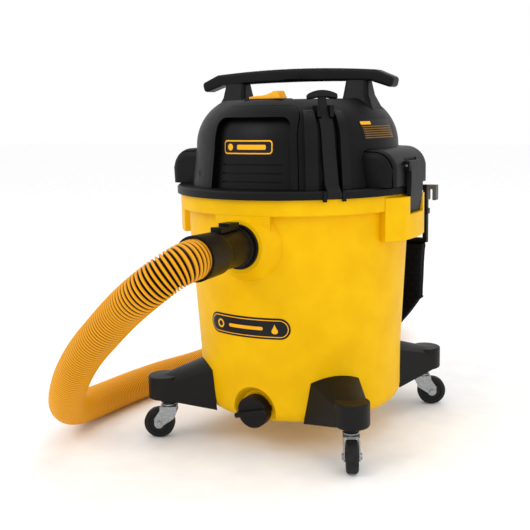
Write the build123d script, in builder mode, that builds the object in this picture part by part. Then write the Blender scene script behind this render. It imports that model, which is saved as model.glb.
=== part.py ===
"""Wheeled shop vacuum: moulded drum on casters, lift-off motor head, hose, drain and rear bag.

Every piece is drawn about the drum's own axis, with the floor at z = 0, the hose inlet
facing -Y and the handle along X. finish() then moves each piece by DRUM_AXIS_Y, which
puts the origin under the middle of the object without its hose.
"""
from build123d import *
from math import cos, pi, radians, sin, tan
import os

os.makedirs("parts", exist_ok=True)

# Driving dimensions, in millimetres -------------------------------------------------
DRUM_AXIS_Y = -19.0          # where the drum's axis stands in the finished frame

DRUM_BOTTOM_Z = 49.0
DRUM_CORNER_R = 25.0
DRUM_LOW_R = 172.0           # outer radius just above the rounded bottom edge
DRUM_HIGH_R = 184.0          # outer radius under the rim band
RIM_R = 197.0
RIM_LOW_Z = 383.0
RIM_TOP_Z = 408.0
BRACKET_R = 213.0            # latch brackets, at both ends of the handle's line

FLANGE_R = 203.0             # the head's rim, which covers the drum's
FLANGE_TOP_Z = 421.0
DOME_TOP_Z = 556.5
DOME_WALL = 3.0
HANDLE_TOP_Z = 607.0

INLET_Z = 338.0
PORT_FACE_Y = -207.0
PORT_R = 34.5
PORT_BORE_R = 28.3
COLLAR_R = 28.0
CUFF_R = 31.5
HOSE_R = 29.0
HOSE_BORE_R = 24.0

DRAIN_Z = 68.0
DRAIN_CAP_R = 26.0
SPOUT_R = 15.5
POCKET_R = 41.0
POCKET_FLOOR_Y = -156.0

STEM_CIRCLE_R = 235.7        # the caster stems stand on this circle
WHEEL_R = 25.4
TREAD = 18.5
TRAIL = 16.5
AXLE_R = 3.0
RUNNING = 0.05               # radial clearance of a pin that turns in its hole

LATCH_X = 205.5              # latch pin, off the drum's axis
LATCH_Z = 452.0
LATCH_HALF = 27.5
SHOULDER_HALF = 81.0         # half the depth of the bulge above each latch
STRAP_ANGLE = -48.0          # where the hose strap stands round the head, from +X
STRAP_PIN_R = 200.0
STRAP_PIN_Z = 414.4

MOTOR_R = 52.0
SHAFT_R = 5.0

# Control points of the hose's centre line.
HOSE_ROUTE = [
    (0, -304, 338), (0, -334, 338), (-15, -358, 327), (-39, -373, 307), (-67, -374, 286),
    (-103, -362, 261), (-143, -352, 228), (-190, -338, 189), (-229, -324, 148), (-264, -302, 107),
    (-303, -265, 64), (-333, -204, 36), (-340, -123, 29.2), (-336, -42, 29.2), (-325, 37, 29.2),
    (-302, 112, 29.2), (-291, 190, 29.2), (-302, 268, 29.2), (-285, 350, 29.2), (-225, 418, 29.2),
    (-135, 432, 29.2), (-62, 475, 29.2), (-48, 560, 29.2), (-85, 645, 29.2), (-148, 712, 30),
    (-216, 762, 32),
]

FRAME = Location((0, DRUM_AXIS_Y, 0))
CORNERS = {"front_right": -45, "front_left": -135, "rear_left": 135, "rear_right": 45}
CASTER_HEADINGS = {"front_right": -63.3, "front_left": -153.3, "rear_left": 116.7, "rear_right": 26.7}


# Helpers ----------------------------------------------------------------------------
def finish(part, name):
    """Put a finished piece in the object's frame, label it and write its file."""
    placed = Compound(part.solids()).moved(FRAME)
    placed.label = name
    export_step(placed, f"parts/{name}.step")


def block(low, high):
    """A box between two opposite corners."""
    middle = tuple((a + b) / 2 for a, b in zip(low, high))
    with BuildPart() as box:
        with Locations(middle):
            Box(*[b - a for a, b in zip(low, high)])
    return box.part


def upright(inner_r, outer_r, low_z, high_z, x=0.0, y=0.0):
    """A vertical ring, or a rod where inner_r is 0."""
    with BuildPart() as solid:
        with BuildSketch(Plane.XY.offset(low_z)):
            with Locations((x, y)):
                Circle(outer_r)
                if inner_r > 0:
                    Circle(inner_r, mode=Mode.SUBTRACT)
        extrude(amount=high_z - low_z)
    return solid.part


def lathe(corners, degrees_round=360.0):
    """A solid of revolution about the drum's axis, from (radius, z) corners."""
    with BuildPart() as solid:
        with BuildSketch(Plane.XZ):
            with BuildLine():
                Polyline(*corners, close=True)
            make_face()
        revolve(axis=Axis.Z, revolution_arc=degrees_round)
    return solid.part


def barrel(corners, axis_z):
    """A solid of revolution about a front-to-back axis, from (y, radius) corners."""
    with BuildPart() as solid:
        with BuildSketch(Plane.YZ):
            with BuildLine():
                Polyline(*[(y, axis_z + radius) for y, radius in corners], close=True)
            make_face()
        revolve(axis=Axis((0, 0, axis_z), (0, 1, 0)))
    return solid.part


def prism_y(corners, low_y, high_y):
    """A solid with an outline of (x, z) corners, from one y to another."""
    with BuildPart() as solid:
        with BuildSketch(Plane.XZ.offset(-low_y)):
            with BuildLine():
                Polyline(*corners, close=True)
            make_face()
        extrude(amount=low_y - high_y)
    return solid.part


def rod_y(radius, low_y, high_y, x, z):
    """A rod along Y."""
    with BuildPart() as rod:
        with BuildSketch(Plane.XZ.offset(-low_y)):
            with Locations((x, z)):
                Circle(radius)
        extrude(amount=low_y - high_y)
    return rod.part


def polar(radius, angle):
    """The XY point at a radius and an angle in degrees."""
    return (radius * cos(radians(angle)), radius * sin(radians(angle)))


# Drum -------------------------------------------------------------------------------
def drum_outside():
    """The drum's full outer shape: tapered wall, rounded bottom edge and rim band."""
    corner = DRUM_LOW_R - DRUM_CORNER_R
    reach = DRUM_CORNER_R * (1 - sin(radians(45)))
    with BuildPart() as solid:
        with BuildSketch(Plane.XZ):
            with BuildLine():
                Line((0, DRUM_BOTTOM_Z), (corner, DRUM_BOTTOM_Z))
                ThreePointArc((corner, DRUM_BOTTOM_Z),
                              (DRUM_LOW_R - reach, DRUM_BOTTOM_Z + reach),
                              (DRUM_LOW_R, DRUM_BOTTOM_Z + DRUM_CORNER_R))
                Polyline((DRUM_LOW_R, DRUM_BOTTOM_Z + DRUM_CORNER_R), (172.6, 140), (DRUM_HIGH_R, 345),
                         (DRUM_HIGH_R, RIM_LOW_Z), (RIM_R - 1.5, RIM_LOW_Z), (RIM_R, RIM_LOW_Z + 1.5),
                         (RIM_R, RIM_TOP_Z), (0, RIM_TOP_Z), (0, DRUM_BOTTOM_Z))
            make_face()
        revolve(axis=Axis.Z)
    return solid.part


def foot_screw_planes():
    """Planes of the eight foot screws: origin at the screw's head, facing outwards."""
    planes = []
    for angle in CORNERS.values():
        out = Vector(*polar(1, angle), 0)
        side = Vector(-out.Y, out.X, 0)
        for lateral in (-24, 24):
            planes.append(Plane(origin=out * 178 + side * lateral + Vector(0, 0, 92),
                                x_dir=side, z_dir=out))
    return planes


def arch_prism(radius, front_y, rear_y, rear_radius=None):
    """The drain pocket's outline, a round top with straight legs, from front to rear."""
    with BuildPart() as prism:
        for y, r in ((front_y, radius), (rear_y, rear_radius or radius)):
            with BuildSketch(Plane.XZ.offset(-y)):
                with BuildLine():
                    Polyline((-r, DRAIN_Z), (-r, DRAIN_Z - 45), (r, DRAIN_Z - 45), (r, DRAIN_Z))
                    ThreePointArc((r, DRAIN_Z), (0, DRAIN_Z + r), (-r, DRAIN_Z))
                make_face()
        loft()
    return prism.part


def latch_bracket():
    """The thick pad under a latch, at the +X end, with the notch that the latch drops into."""
    low = polar(198, 21)
    high = polar(BRACKET_R, 12.5)
    with BuildPart() as bracket:
        with BuildSketch(Plane.XY.offset(336)):
            with BuildLine():
                Polyline((high[0], -high[1]), (low[0], -low[1]), (170, -60), (170, 60), low, high)
                ThreePointArc(high, (BRACKET_R, 0), (high[0], -high[1]))
            make_face()
        extrude(amount=404 - 336)
        fillet(bracket.faces().sort_by(Axis.X)[-1].edges().sort_by(Axis.Z)[0], 3)
        add(block((201, -30, 376), (220, 30, 420)), mode=Mode.SUBTRACT)
    return bracket.part


def make_drum():
    """The drum: hollow, with latch brackets, the inlet's boss and the drain's pocket."""
    with BuildPart() as cavity:
        add(lathe([(0, 52), (150, 52), (162, 57), (169, 74), (169.6, 140), (181, 345),
                   (181, RIM_LOW_Z), (193.6, 390), (193.6, RIM_TOP_Z + 1), (0, RIM_TOP_Z + 1)]))
        for plane in foot_screw_planes():
            with BuildSketch(plane.offset(-4)):
                Circle(7)
            extrude(amount=-21, mode=Mode.SUBTRACT)
        add(arch_prism(POCKET_R + 5, -185, POCKET_FLOOR_Y + 5), mode=Mode.SUBTRACT)
        add(barrel([(-190, 0), (-190, 38), (-174, 38), (-174, 0)], INLET_Z), mode=Mode.SUBTRACT)
    with BuildPart() as drum:
        add(drum_outside())
        add(latch_bracket())
        add(latch_bracket().rotate(Axis.Z, 180))
        fill = lathe([(175, 340), (186, 345), (RIM_R - 0.4, 372), (RIM_R - 0.4, 390), (175, 390)], 28)
        add(fill.rotate(Axis.Z, -104))
        add(barrel([(-203.4, 0), (-203.4, 41), (-197, 44), (-178, 58), (-170, 60), (-170, 0)], INLET_Z))
        add(cavity.part, mode=Mode.SUBTRACT)
        add(arch_prism(POCKET_R, -173.5, POCKET_FLOOR_Y, 31), mode=Mode.SUBTRACT)
        add(arch_prism(POCKET_R, -200, -173.5), mode=Mode.SUBTRACT)
        add(barrel([(-220, 0), (-220, 31.1), (-160, 31.1), (-160, 0)], INLET_Z), mode=Mode.SUBTRACT)
        add(rod_y(SPOUT_R + 0.1, -170, -140, 0, DRAIN_Z), mode=Mode.SUBTRACT)
        for plane in foot_screw_planes():
            with BuildSketch(plane):
                Circle(2.05)
            extrude(amount=-20, mode=Mode.SUBTRACT)
        for x in (-100, 100):
            add(rod_y(3.05, 160, 215, x, 396), mode=Mode.SUBTRACT)
    finish(drum.part, "drum")


def make_inlet():
    """The port that the hose plugs into, and the hood behind it that turns the air down."""
    finish(barrel([(PORT_FACE_Y, PORT_BORE_R), (PORT_FACE_Y, PORT_R - 1), (PORT_FACE_Y + 1, PORT_R),
                   (-203.5, PORT_R), (-203.5, 31), (-166, 31), (-166, 26), (-170, 26),
                   (-170, PORT_BORE_R)], INLET_Z), "inlet_port")
    with BuildPart() as hood:
        with BuildLine():
            bend = ThreePointArc((0, -165.7, INLET_Z),
                                 (0, -165.7 + 42 * sin(radians(45)), INLET_Z - 42 + 42 * cos(radians(45))),
                                 (0, -123.7, INLET_Z - 42))
        with BuildSketch(Plane(origin=bend @ 0, x_dir=(1, 0, 0), z_dir=(0, 1, 0))):
            Circle(31)
            Circle(28, mode=Mode.SUBTRACT)
        sweep()
    finish(hood.part, "inlet_deflector")


def make_drain():
    """Threaded spout through the drum's wall, the seal on its end and the winged cap."""
    finish(barrel([(-171.7, 12), (-171.7, SPOUT_R), (-159, SPOUT_R), (-159, 22), (POCKET_FLOOR_Y - 0.2, 22),
                   (POCKET_FLOOR_Y - 0.2, SPOUT_R), (-146, SPOUT_R), (-146, 12)], DRAIN_Z), "drain_spout")
    finish(barrel([(-174, 12), (-174, 15.2), (-171.8, 15.2), (-171.8, 12)], DRAIN_Z), "drain_gasket")
    with BuildPart() as cap:
        add(barrel([(-178.5, 0), (-178.5, 24), (-176.5, DRAIN_CAP_R), (-160, DRAIN_CAP_R),
                    (-160, SPOUT_R + RUNNING), (-174, SPOUT_R + RUNNING), (-174, 0)], DRAIN_Z))
        with BuildSketch(Plane.XZ.offset(176)):
            with Locations(Location((0, DRAIN_Z), 14)):
                RectangleRounded(58, 8, 3)
        extrude(amount=8)
        with BuildSketch(Plane.XZ.offset(160)):
            with Locations(Location((0, DRAIN_Z), 14)):
                Rectangle(56, 8)
                Circle(23, mode=Mode.SUBTRACT)
        extrude(amount=17)
    finish(cap.part, "drain_cap")


# Feet and casters -------------------------------------------------------------------
def foot_section(x, half_low, half_high, low_z, shoulder_z, top_z):
    """One cross-section of an outrigger foot: straight legs under an arched roof."""
    with BuildSketch(Plane.YZ.offset(x)) as section:
        with BuildLine():
            Polyline((half_high, shoulder_z), (half_low, low_z), (-half_low, low_z),
                     (-half_high, shoulder_z))
            ThreePointArc((-half_high, shoulder_z), (0, top_z), (half_high, shoulder_z))
        make_face()
    return section.sketch


def make_foot(name, angle):
    """An outrigger foot, hollow under its arched roof, with a rib and a socket for the stem."""
    with BuildPart() as hollow:
        add(foot_section(178, 43, 35, 30, 116, 125))
        add(foot_section(231, 25, 21, 30, 95, 103))
        loft()
        add(block((170, -2, 20), (240, 2, 140)), mode=Mode.SUBTRACT)
        add(upright(0, 13, 20, 140, STEM_CIRCLE_R), mode=Mode.SUBTRACT)
    with BuildPart() as foot:
        add(foot_section(160, 54, 42, 52, 121, 131.5))
        add(foot_section(244, 27, 25, 71, 99, 108))
        loft()
        with BuildPart(mode=Mode.PRIVATE) as toe:
            add(upright(0, 27, 70, 108.5, 241))
            fillet(toe.edges().group_by(Axis.Z)[-1], 3)
            fillet(toe.edges().group_by(Axis.Z)[0], 3)
        add(toe.part)
        add(hollow.part, mode=Mode.SUBTRACT)
        add(upright(0, 13, 62, 72, STEM_CIRCLE_R))
        add(upright(0, 172.9, 30, 150), mode=Mode.SUBTRACT)
        add(upright(0, 5.6, 50, 100, STEM_CIRCLE_R), mode=Mode.SUBTRACT)
        for lateral in (-24, 24):
            with BuildSketch(Plane.YZ.offset(160)):
                with Locations((lateral, 92)):
                    Circle(2.05)
            extrude(amount=20, mode=Mode.SUBTRACT)
    finish(foot.part.rotate(Axis.Z, angle), name)


def make_foot_screws():
    """Pan-head screws that hold the feet, driven outwards-in through each foot's back wall."""
    with BuildPart() as screws:
        for plane in foot_screw_planes():
            with BuildSketch(plane):
                Circle(4.5)
            extrude(amount=3)
            with BuildSketch(plane):
                Circle(2)
            extrude(amount=-18)
    finish(screws.part, "foot_screws")


def make_caster_stems():
    """Fixed grip stems: shank in the foot, bearing race and the rivet the fork turns on."""
    with BuildPart() as stems:
        for angle in CORNERS.values():
            stem = lathe([(0, 50), (6.2, 50), (6.2, 52), (4, 52), (4, 55.1), (11.5, 55.1), (12, 56),
                          (12, 58.3), (9, 59.2), (6.5, 59.2), (5.5, 61), (5.5, 97), (4.5, 98), (0, 98)])
            x, y = polar(STEM_CIRCLE_R, angle)
            add(stem.moved(Location((x, y, 0))))
    finish(stems.part, "caster_stems")


def make_caster(name, angle, heading):
    """Fork, axle and wheel of one caster, drawn at the origin with the wheel towards +X."""
    x, y = polar(STEM_CIRCLE_R, angle)
    place = Location((x, y, 0), (0, 0, heading))
    half_gap = TREAD / 2 + 1.3
    plate = 2.0
    with BuildPart() as fork:
        with BuildSketch(Plane.XY.offset(52.2)):
            RectangleRounded(28, 2 * (half_gap + plate), 4)
            Circle(4 + RUNNING, mode=Mode.SUBTRACT)
        extrude(amount=2.5)
        for side in (-1, 1):
            with BuildSketch(Plane.XZ.offset(side * (half_gap + plate / 2))):
                with BuildLine():
                    Polyline((-13.5, 54.7), (-13.5, 44), (-9, 34), (TRAIL - 7.6, 22.5), (TRAIL + 7.6, 22.5),
                             (TRAIL + 7.6, 34), (14.5, 48), (14, 54.7), (-13.5, 54.7))
                make_face()
                with Locations((TRAIL, WHEEL_R)):
                    Circle(8)
                    Circle(AXLE_R + 0.03, mode=Mode.SUBTRACT)
            extrude(amount=plate / 2, both=True)
    finish(fork.part.moved(place), f"caster_fork_{name}")
    with BuildPart() as axle:
        add(rod_y(AXLE_R, -15.6, 15.6, TRAIL, WHEEL_R))
        for low, high in ((-15.4, -12.6), (12.6, 15.4)):
            with BuildSketch(Plane.XZ.offset(-low)):
                with Locations((TRAIL, WHEEL_R)):
                    RegularPolygon(5.2, 6)
            extrude(amount=low - high)
    finish(axle.part.moved(place), f"wheel_axle_{name}")
    with BuildPart() as wheel:
        with BuildSketch(Plane.XY):
            with BuildLine():
                Polyline((AXLE_R + RUNNING, 0), (AXLE_R + RUNNING, 10.2), (7, 10.2), (8, 7.6), (16.5, 7.6),
                         (17.5, 9.25), (21.4, 9.25))
                ThreePointArc((21.4, 9.25), (24.23, 8.08), (WHEEL_R, 5.25))
                Line((WHEEL_R, 5.25), (WHEEL_R, 0))
                Line((WHEEL_R, 0), (AXLE_R + RUNNING, 0))
            make_face()
        revolve(axis=Axis.Y)
        mirror(about=Plane.XZ)
    finish(wheel.part.moved(Location((TRAIL, 0, WHEEL_R))).moved(place), f"wheel_{name}")


# Hose -------------------------------------------------------------------------------
def hose_path():
    """The hose's centre line: runs joined by the largest arcs they have room for."""
    points = [Vector(*point) for point in HOSE_ROUTE]
    radii = []
    for before, here, after in zip(points, points[1:], points[2:]):
        turn = radians((here - before).get_angle(after - here))
        run = min((here - before).length, (after - here).length)
        radii.append(0.45 * run / tan(turn / 2))
    print("hose bend radii, mm:", [round(radius) for radius in radii])
    with BuildLine() as path:
        FilletPolyline(*points, radius=radii)
    return path


def make_hose():
    """The hose as a plain tube, its lockable collar and the cuff on its far end."""
    path = hose_path()
    line = path.wire()
    with BuildPart() as hose:
        with BuildSketch(Plane(origin=line @ 0, z_dir=line % 0)):
            Circle(HOSE_R)
            Circle(HOSE_BORE_R, mode=Mode.SUBTRACT)
        sweep(path=line)
    section = pi * (HOSE_R ** 2 - HOSE_BORE_R ** 2)
    ratio = hose.part.volume / section / line.length
    print("hose length, mm:", round(line.length), "volume ratio:", round(ratio, 4))
    finish(hose.part, "hose")
    end = line @ 1
    with BuildPart() as cuff:
        with BuildSketch(Plane(origin=end, z_dir=line % 1)):
            Circle(CUFF_R)
            Circle(HOSE_BORE_R, mode=Mode.SUBTRACT)
        extrude(amount=48)
        with BuildSketch(Plane(origin=end + (line % 1) * 48, z_dir=line % 1)):
            Circle(COLLAR_R)
            Circle(HOSE_BORE_R, mode=Mode.SUBTRACT)
        extrude(amount=44)
    finish(cuff.part, "hose_end_cuff")
    seat = HOSE_ROUTE[0][1]
    socket = HOSE_R + 0.4
    finish(barrel([(seat, HOSE_BORE_R), (seat, socket), (seat - 20, socket), (seat - 20, CUFF_R + 1.5),
                   (-274, CUFF_R), (-267, COLLAR_R), (-214, COLLAR_R), (-213, 30.5), (-207.4, 30.5),
                   (-207.4, COLLAR_R), (-172, COLLAR_R), (-172, HOSE_BORE_R)],
                  INLET_Z), "hose_collar")


def make_hose_lock():
    """The stepped lock tab on top of the collar: press its front and its rear end lifts."""
    with BuildPart() as lever:
        with BuildSketch(Plane.YZ):
            with BuildLine():
                Polyline((-266, 366.9), (-266, 375), (-244, 373.2), (-244, 378.4), (-215.4, 377.4),
                         (-215.4, 367.2), (-226, 366.6), (-262, 366.6), close=True)
            make_face()
        extrude(amount=9, both=True)
    finish(lever.part, "hose_lock")


# Accessory bag ----------------------------------------------------------------------
def make_bag_hanger():
    """Rigid frame on the drum's back that the accessory bag hangs from, and its end hooks."""
    with BuildPart() as hanger:
        for x in (-148, 148):
            add(block((x - 4, 228, 292), (x + 4, 238, 400)))
            add(block((x - 6, 226, 346), (x + 6, 240, 356)))
        add(block((-148, 228, 390), (148, 238, 400)))
        add(block((-148, 228, 292), (148, 238, 300)))
        for x in (-100, 100):
            add(block((x - 9, 184, 386), (x + 9, 228, 400)))
        add(upright(0, RIM_R + 0.3, 380, 410), mode=Mode.SUBTRACT)
        for x in (-100, 100):
            add(rod_y(3.05, 160, 215, x, 396), mode=Mode.SUBTRACT)
    finish(hanger.part, "bag_hanger")
    with BuildPart() as hooks:
        for side in (-1, 1):
            low_x, high_x = sorted((side * 152, side * 170))
            add(block((low_x, 226, 372), (high_x, 240, 400)))
            low_x, high_x = sorted((side * 155, side * 163))
            add(block((low_x, 220, 366), (high_x, 246, 392)), mode=Mode.SUBTRACT)
        fillet(hooks.edges().filter_by(Axis.Y), 1.2)
    finish(hooks.part, "hanger_hooks")


def bag_outline(inset, top_z):
    """The bag's front view as (x, z) corners: straight sides over a tapered bottom."""
    half = 152 - inset
    foot = 100 - inset / 2
    return [(-half, top_z), (half, top_z), (half, 192 + inset / 2), (foot, 130 + inset),
            (-foot, 130 + inset), (-half, 192 + inset / 2)]


def make_bag():
    """The open-topped accessory bag, plain, with a gusset as deep as its side is thick."""
    with BuildPart() as bag:
        add(prism_y(bag_outline(0, 291.5), 200, 245))
        add(prism_y(bag_outline(3, 320), 203, 242), mode=Mode.SUBTRACT)
    finish(bag.part, "accessory_bag")


# Head shells ------------------------------------------------------------------------
def dome(offset):
    """The head's domed body, grown by offset (shrunk if negative), solid and down to the flange."""
    low = FLANGE_TOP_Z
    with BuildPart() as solid:
        with BuildSketch(Plane.XZ):
            with BuildLine():
                Polyline((0, low), (176.5 + offset, low), (168.5 + offset, 482))
                ThreePointArc((168.5 + offset, 482), (155.5 + 0.85 * offset, 527 + 0.5 * offset),
                              (121 + 0.5 * offset, DOME_TOP_Z + offset))
                Polyline((121 + 0.5 * offset, DOME_TOP_Z + offset), (0, DOME_TOP_Z + 1 + offset), (0, low))
            make_face()
        revolve(axis=Axis.Z)
    return solid.part


def arch_frame(half_low, half_high, top_z, corner, front_y=-230, rear_y=-118):
    """A prism with the front panel's arched outline, tapered towards a rounded top."""
    low = FLANGE_TOP_Z + 0.5
    with BuildPart() as prism:
        with BuildSketch(Plane.XZ.offset(-rear_y)):
            with BuildLine():
                Polyline((-half_low, low), (half_low, low), (half_high, top_z), (-half_high, top_z),
                         close=True)
            make_face()
        extrude(amount=rear_y - front_y)
        fillet(prism.edges().filter_by(Axis.Y).group_by(Axis.Z)[-1], corner)
    return prism.part


def ridge(start, width):
    """An upright rib on the dome beside the hose strap, from one angle over a width in degrees."""
    with BuildPart() as rib:
        with BuildSketch(Plane.XZ):
            with BuildLine():
                Polyline((160, FLANGE_TOP_Z), (189, FLANGE_TOP_Z), (182, 490))
                ThreePointArc((182, 490), (173, 520), (156, 538))
                Polyline((156, 538), (140, 541), (140, 500), (160, FLANGE_TOP_Z))
            make_face()
        revolve(axis=Axis.Z, revolution_arc=width)
    return rib.part.rotate(Axis.Z, start)


def latch_shoulder(grow):
    """The bulge on the head above a latch, at the +X end."""
    with BuildPart() as shoulder:
        with BuildSketch(Plane.XZ):
            with BuildLine():
                Polyline((120, FLANGE_TOP_Z), (203 + grow, FLANGE_TOP_Z), (203 + grow, 448))
                ThreePointArc((203 + grow, 448), (194.5 + 0.8 * grow, 467.5 + 0.6 * grow), (171, 479 + grow))
                Polyline((171, 479 + grow), (120, 481 + grow), (120, FLANGE_TOP_Z))
            make_face()
        extrude(amount=SHOULDER_HALF + grow, both=True)
        if grow == 0:
            rims = shoulder.faces().filter_by(Axis.Y).edges()
            rims = [edge for edge in rims if edge.center().X > 150 and edge.center().Z > FLANGE_TOP_Z + 5]
            fillet(rims, 16)
    return shoulder.part


def make_head_housing():
    """The domed housing: shell, latch shoulders, strap ribs and the openings for what it holds."""
    with BuildPart() as housing:
        add(dome(0))
        for angle in (0, 180):
            add(latch_shoulder(0).rotate(Axis.Z, angle))
        for start, width in ((-60, 6), (-42.6, 4.5)):
            add(ridge(start, width))
        add(dome(-DOME_WALL), mode=Mode.SUBTRACT)
        for angle in (0, 180):
            add(latch_shoulder(-4).rotate(Axis.Z, angle), mode=Mode.SUBTRACT)
        add(arch_frame(80.3, 72.3, 547.3, 24.3), mode=Mode.SUBTRACT)
        for side in (-1, 1):
            low_x, high_x = sorted((side * 193.8, side * 197.6))
            add(block((low_x, -32, FLANGE_TOP_Z), (high_x, 32, 461)))
            low_x, high_x = sorted((side * 197.6, side * 230))
            add(block((low_x, -28.2, 410), (high_x, 28.2, 490)), mode=Mode.SUBTRACT)
            low_x, high_x = sorted((side * 192, side * 210.5))
            for low_y, high_y in ((-33.5, -28.2), (28.2, 33.5)):
                add(block((low_x, low_y, 443), (high_x, high_y, 459)))
            add(rod_y(2.03, -40, 40, side * LATCH_X, LATCH_Z), mode=Mode.SUBTRACT)
        for x, y in screw_places():
            add(upright(0, 8.5, FLANGE_TOP_Z, 446, x, y))
            add(upright(0, 2.05, 410, 442, x, y), mode=Mode.SUBTRACT)
        add(block((-30.6, -113.6, 530), (30.6, -86.4, 570)), mode=Mode.SUBTRACT)
        add(barrel([(120, 0), (120, 30.1), (200, 30.1), (200, 0)], 462), mode=Mode.SUBTRACT)
        add(rod_y(9.1, 120, 200, -95, 445), mode=Mode.SUBTRACT)
        for x, y in handle_screw_places():
            add(upright(0, 2.05, 540, 560, x, y), mode=Mode.SUBTRACT)
    finish(housing.part, "head_housing")


def screw_places():
    """The four screws that join the head's base and housing."""
    return [polar(166, angle) for angle in (50, 130, 230, 310)]


def handle_screw_places():
    """Two screws up into each leg of the handle."""
    return [(x, y) for x in (-108, 108) for y in (-9, 9)]


def make_head_base():
    """The head's floor: flange over the drum's rim, skirt inside it and the air intake hole."""
    with BuildPart() as base:
        add(lathe([(38, 411), (187.5, 411), (187.5, 396), (190.8, 396), (190.8, 408.3), (FLANGE_R, 408.3),
                   (FLANGE_R, 418.5), (200.5, FLANGE_TOP_Z), (172, FLANGE_TOP_Z), (172, 415), (38, 415)]))
        for x, y in screw_places():
            add(upright(0, 2.05, 400, 425, x, y), mode=Mode.SUBTRACT)
        slot = block((186, -12.4, 400), (215, 12.4, 430)).rotate(Axis.Z, STRAP_ANGLE)
        add(slot, mode=Mode.SUBTRACT)
        for low, high in ((-17.5, -12.4), (12.4, 17.5)):
            ear = block((198.5, low, 405), (205.5, high, FLANGE_TOP_Z))
            add(ear.rotate(Axis.Z, STRAP_ANGLE))
        hole = rod_y(2.03, -20, 20, STRAP_PIN_R, STRAP_PIN_Z)
        add(hole.rotate(Axis.Z, STRAP_ANGLE), mode=Mode.SUBTRACT)
    finish(base.part, "head_base")
    finish(upright(190.9, 193.1, 398, 403), "head_gasket")
    with BuildPart() as screws:
        for x, y in screw_places():
            screw = lathe([(0, 407.8), (4.5, 407.8), (4.5, 411), (2, 411), (2, 441), (0, 441)])
            add(screw.moved(Location((x, y, 0))))
    finish(screws.part, "housing_screws")


def make_front_panel():
    """The arched front panel: a bevelled frame round a set-back field with three grooves."""
    with BuildPart() as panel:
        add(arch_frame(80, 72, 547, 24))
        add(dome(2), mode=Mode.INTERSECT)
        add(dome(-16), mode=Mode.SUBTRACT)
        with BuildPart(mode=Mode.PRIVATE) as recess:
            add(arch_frame(70, 63, 530, 16))
            add(dome(-8), mode=Mode.SUBTRACT)
        add(recess.part, mode=Mode.SUBTRACT)
        with BuildPart(mode=Mode.PRIVATE) as grooves:
            for z in (432, 445, 458):
                add(block((-52, -230, z - 1.2), (52, -60, z + 1.2)))
            add(dome(-10), mode=Mode.SUBTRACT)
        add(grooves.part, mode=Mode.SUBTRACT)
    finish(panel.part, "front_panel")


# Handle, switch, strap and latches --------------------------------------------------
def make_handle():
    """The carrying handle: a bar with drooping ends and finger notches on two tapered legs."""
    notches = (-67, -43, -17, 12, 38, 62)
    with BuildPart() as handle:
        with BuildSketch(Plane.XZ) as outline:
            with BuildLine():
                ThreePointArc((-146, 601), (0, HANDLE_TOP_Z), (146, 601))
                Polyline((146, 601), (177, 588), (173, 571.5), (138, 583))
                ThreePointArc((138, 583), (0, 586), (-138, 583))
                Polyline((-138, 583), (-173, 571.5), (-177, 588), (-146, 601))
            make_face()
            fillet(outline.vertices().filter_by(lambda corner: abs(corner.X) > 160), 6)
            fillet(outline.vertices().filter_by(lambda corner: 136 < abs(corner.X) < 150), 12)
        extrude(amount=15, both=True)
        fillet(handle.faces().filter_by(Axis.Y).edges(), 4.5)
        for x in notches:
            local_top = HANDLE_TOP_Z - 6 * (x / 146) ** 2
            notch = block((x - 2.2, -20, local_top - 2.6), (x + 2.2, 20, HANDLE_TOP_Z + 5))
            add(notch, mode=Mode.SUBTRACT)
        with BuildPart(mode=Mode.PRIVATE) as legs:
            for side in (-1, 1):
                with BuildSketch(Plane.XY.offset(535)):
                    with Locations((side * 117, 0)):
                        RectangleRounded(60, 62, 10)
                with BuildSketch(Plane.XY.offset(562)):
                    with Locations((side * 112.5, 0)):
                        RectangleRounded(44, 40, 8)
                loft()
                with BuildSketch(Plane.XY.offset(562)):
                    with Locations((side * 112.5, 0)):
                        RectangleRounded(44, 40, 8)
                with BuildSketch(Plane.XY.offset(588)):
                    with Locations((side * 112, 0)):
                        RectangleRounded(37, 26, 7)
                loft()
            add(dome(0.1), mode=Mode.SUBTRACT)
            add(upright(0, 60, 500, 560), mode=Mode.SUBTRACT)
        add(legs.part)
        for x, y in handle_screw_places():
            add(upright(0, 2.05, 540, 578, x, y), mode=Mode.SUBTRACT)
    finish(handle.part, "handle")
    with BuildPart() as screws:
        for x, y in handle_screw_places():
            screw = lathe([(0, 549.5), (4, 549.5), (4, 552.5), (2, 552.5), (2, 576), (0, 576)])
            add(screw.moved(Location((x, y, 0))))
    finish(screws.part, "handle_screws")


def make_switch():
    """The rocker switch: bezel, the module under it and the yellow rocker, left end pressed."""
    with BuildPart() as bezel:
        with BuildSketch(Plane.XY.offset(554)):
            with Locations((0, -100)):
                RectangleRounded(72, 37, 6)
                Rectangle(61, 27, mode=Mode.SUBTRACT)
        extrude(amount=4)
        fillet(bezel.faces().sort_by(Axis.Z)[-1].outer_wire().edges(), 1)
        add(dome(0.1), mode=Mode.SUBTRACT)
    finish(bezel.part, "switch_bezel")
    finish(block((-24, -111, 516), (24, -89, 535)), "switch_module")
    with BuildPart() as rocker:
        with BuildSketch(Plane.XZ.offset(100)):
            with BuildLine():
                Polyline((-22, 543), (20, 543), (26.5, 550), (27, 559), (22, 569.8), (16, 569.4))
                ThreePointArc((16, 569.4), (2, 564.2), (-12, 562.8))
                Polyline((-12, 562.8), (-27.5, 561), (-27.5, 548), (-22, 543))
            make_face()
        extrude(amount=12.8, both=True)
        fillet(rocker.faces().filter_by(Axis.Y).edges(), 1.2)
    finish(rocker.part, "power_switch")


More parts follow.
